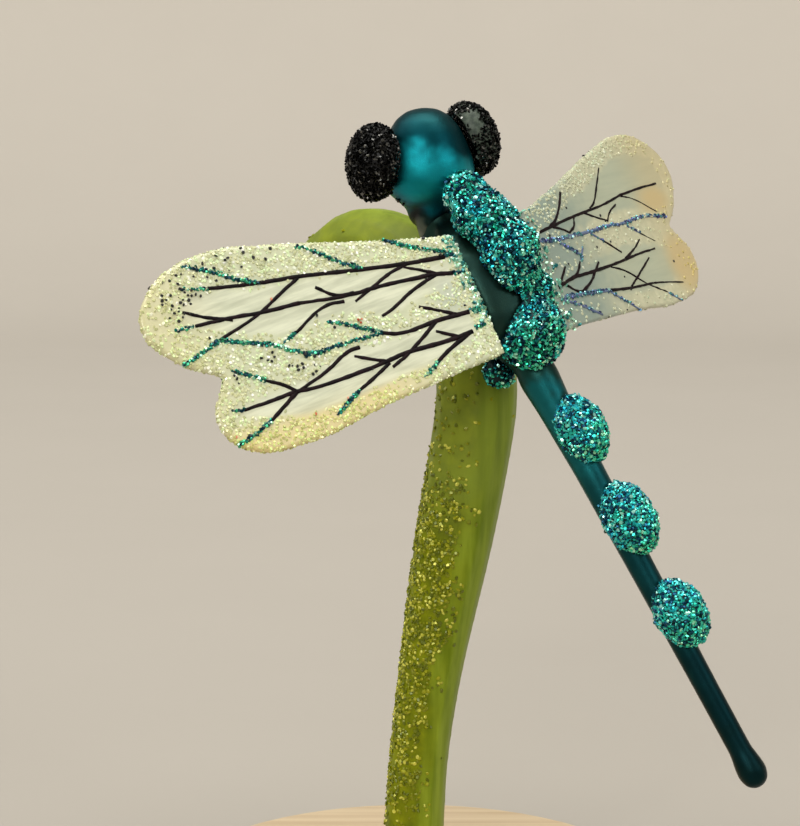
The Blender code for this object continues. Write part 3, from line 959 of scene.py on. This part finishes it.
def build_stem():
    """The cut length of stem, with gold chips down its left front."""
    piece = merged_copy("perch_stem", "stem_glass")
    melt(piece, grain=0.3 * MM, passes=8, inset=0.0)
    unwrap(piece)

    def olive(co, normal):
        """The glass darkens on the glittered side."""
        return ease(normal.dot(GOLD_SIDE) + 0.25 * noise.noise(co / MM * 0.25), 0.1, 0.8)

    def cover(co, normal):
        """The chips clump, and thin out at the foot and towards the dragonfly."""
        patch = normal.dot(GOLD_SIDE) + 0.5 * noise.noise(co / MM * 0.35)
        clump = 0.55 + 0.9 * noise.noise(co / MM * 1.1)
        low = 0.4 + 0.6 * ease(co.z, 0.010, 0.024)
        high = (1.0 - 0.85 * ease(co.z, 0.044, 0.054)) * (1.0 - ease(co.z, 0.058, 0.064))
        return STRAY_COVER + 1.3 * max(0.0, clump) * ease(patch, 0.2, 0.8) * low * high

    def painted_light(co, normal):
        """Painted light: the glass is made paler along its right side, where the light falls, and in its
        upper half, to lift the wing's shadow.
        """
        return max(0.7 * ease(normal.x, 0.5, 0.95), 0.4 * ease(co.z, 0.042, 0.05))

    paint(piece, "olive", olive)
    paint(piece, "painted_light", painted_light)
    paint(piece, "cover", cover)
    chips = glitter("gold_chips", 0.3, 0.2, ((98, 108, 0), (130, 136, 6), (158, 160, 18), (212, 210, 84)))
    strew("stem_glitter", piece, chips, "stem_glass", 60, spacing=0.25, size=0.42, tilt=0.65, lift=0.04,
          spread=0.4)
    wear(piece, stem_finish(), "stem_glass", "perch_stem")


def build_stand():
    """The round base in pale oiled wood, its grain across, and the rod in steel brushed round it."""
    birch = mottled("birch", 0.45, (190, 164, 128), (218, 198, 164), relief=0.05, stretch=(60.0, 1.0, 2.0),
                    contrast=0.3)
    steel = mottled("brushed_steel", 0.28, (176, 176, 176), (198, 198, 196), relief=0.003,
                    stretch=(3.0, 3.0, 0.3), Metallic=1.0)
    for node, finish, slot in (("stand_base", birch, "base_wood"), ("stand_rod", steel, "rod_steel")):
        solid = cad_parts[node]
        solid.data.materials.clear()
        solid.data.materials.append(finish)


# Studio

def build_floor():
    """A pale round floor that sweeps up into a low wall all round."""
    reach, bend, wall, steps = 0.6, 0.3, 0.02, 16
    bpy.ops.mesh.primitive_circle_add(vertices=96, radius=reach, fill_type="TRIFAN")
    floor = bpy.context.object
    floor.name = "studio_floor"

    def on_rim(line):
        return all(floor.data.vertices[corner].co.length > reach * 0.99 for corner in line.vertices)

    edit(floor)
    select_where(floor, on_rim, "edges")
    for step in range(steps):
        low, high = (math.radians(90.0 * part / steps) for part in (step, step + 1))
        wider = (reach + bend * math.sin(high)) / (reach + bend * math.sin(low))
        bpy.ops.mesh.extrude_region_move(
            TRANSFORM_OT_translate={"value": (0.0, 0.0, bend * (math.cos(low) - math.cos(high)))})
        bpy.ops.transform.resize(value=(wider, wider, 1.0))
    bpy.ops.mesh.extrude_region_move(TRANSFORM_OT_translate={"value": (0.0, 0.0, wall)})
    done()
    floor.data.shade_smooth()
    floor.data.materials.append(mottled("pale_paper", 0.9, (176, 170, 160), (177, 171, 161), scale=0.02,
                                        Specular_IOR_Level=0.1))


def lamp(name, size, power, at, towards, colour=(1.0, 1.0, 1.0)):
    """A soft square light."""
    data = bpy.data.lights.new(name, "AREA")
    data.size = size
    data.energy = power
    data.color = colour
    light = new_object(name, data)
    light.location = at
    light.rotation_euler = (Vector(towards) - Vector(at)).to_track_quat("-Z", "Y").to_euler()
    light.visible_camera = False


def build_lights():
    """A window high on the left, lamps on the right and above, and a wash for the wall behind."""
    lamp("key", 0.85, 16.5, (-0.45, -1.38, 0.62), AIM, (1.0, 0.98, 0.95))
    lamp("fill", 1.0, 8.0, (1.5, -1.05, 0.9), AIM, (0.96, 0.98, 1.0))
    lamp("top", 0.8, 4.0, (-0.95, 0.25, 1.25), AIM)
    lamp("wall_wash", 1.2, 17.0, (0.0, 0.1, 1.2), (0.0, 1.1, 0.25), (1.0, 0.97, 0.92))
    world = bpy.data.worlds.new("studio_air")
    world.use_nodes = True
    air = world.node_tree.nodes["Background"].inputs
    air["Color"].default_value = rgb(225, 222, 216)
    air["Strength"].default_value = 0.26
    bpy.context.scene.world = world
    bpy.context.scene.view_settings.view_transform = "Standard"


def build_camera():
    """The camera stands in front and looks slightly down."""
    data = bpy.data.cameras.new("camera")
    data.sensor_fit = "HORIZONTAL"
    data.sensor_width = SENSOR_WIDTH
    data.lens = SENSOR_WIDTH * VIEW_DISTANCE / VIEW_WIDTH
    data.clip_start = 0.001
    camera = new_object("camera", data)
    down = math.radians(VIEW_DOWN)
    camera.location = AIM + Vector((0.0, -math.cos(down), math.sin(down))) * VIEW_DISTANCE
    camera.rotation_euler = (math.pi / 2.0 - down, 0.0, 0.0)
    bpy.context.scene.camera = camera


MOTTLE = make_mottle()
TONES = make_tones()
STREWING = strewing()
CHIP = make_chip()

INK_PAINT = mottled("ink", 0.5, (8, 3, 6), (32, 16, 20), scale=1.5, relief=0.04, Specular_IOR_Level=0.12)
BLACK_CHIPS = glitter("black_chips", 0.22, 0.9, ((1, 1, 1), (9, 9, 9), (34, 34, 32), (112, 112, 108)))
BLACK_SPECKS = glitter("black_specks", 0.5, 0.0, ((2, 2, 2), (4, 4, 4), (8, 8, 8), (24, 24, 24)))
RED_CHIPS = glitter("red_chips", 0.3, 0.3, ((190, 90, 60), (226, 120, 90), (236, 150, 120), (250, 180, 150)))
MINT_CHIPS = glitter("mint_chips", 0.2, 0.4,
                     ((20, 110, 110), (120, 190, 164), (176, 220, 190), (240, 255, 236)))

# What differs from one wing to the other
ROOT_REACH = per_wing(0.0, 1.8)  # how far a sheet runs on into the body, in millimetres
INK_SHARE = per_wing(1.12, 1.0)  # how broad the painted strokes come out
LINE_SHARE = per_wing(0.85, 0.8)  # how broad the glitter lines do
LINE_COVER = per_wing(1.0, 0.55)  # and how thickly chips lie on them
LINE_GLUES = per_wing(glue("line_glue_left", (16, 50, 70), (20, 100, 104)),
                      glue("line_glue_right", (84, 92, 130), (110, 128, 150)))
LINE_CHIPS = per_wing(glitter("line_chips_left", 0.22, 0.7,
                              ((18, 56, 72), (28, 128, 112), (70, 176, 132), (180, 232, 204))),
                      glitter("line_chips_right", 0.22, 0.7,
                              ((74, 82, 132), (86, 122, 152), (82, 156, 156), (166, 208, 204))))
PEARL_CHIPS = per_wing(glitter("pearl_chips_left", 0.2, 0.1,
                               ((196, 200, 154), (220, 221, 176), (232, 250, 198), (255, 255, 242)),
                               warm=(255, 251, 196)),
                       glitter("pearl_chips_right", 0.42, 0.05,
                               ((190, 192, 160), (200, 202, 170), (200, 210, 178), (226, 229, 204)),
                               warm=(255, 230, 166)))
WING_FINISHES = per_wing(
    wing_finish("wing_left", ((198, 203, 164), (212, 215, 176)), ((188, 192, 160), (226, 229, 198)),
                warm=(226, 206, 138), frost=(176, 186, 170), gleam=0.05),
    wing_finish("wing_right", ((198, 198, 164), (214, 212, 178)), ((180, 187, 161), (191, 196, 168)),
                warm=(210, 189, 137), frost=(138, 158, 148), gleam=0.1))
WARMTH = per_wing(left_warmth, right_warmth)
FROST = per_wing(left_frost, right_frost)
GLITTER_TILT = per_wing(0.3, 0.18)
THICKNESS = per_wing(lambda spot: 0.8 - 0.2 * ease(spot[0], 30.5, 33.0),
                     lambda spot: 0.12 + 0.42 * ease(spot[1] - 0.3 * spot[0], 6.0, 9.0))
SPECKLING = per_wing(left_speckling, lambda spot: STRAY_COVER)
ROOT_GLITTER = per_wing(left_root, right_root)

build_glass_body()
build_glitter_body()
build_eyes()
for name, side in WINGS.items():
    build_wing(name, side)
build_stem()
build_stand()
bpy.data.objects.remove(CHIP)
build_floor()
build_lights()
build_camera()
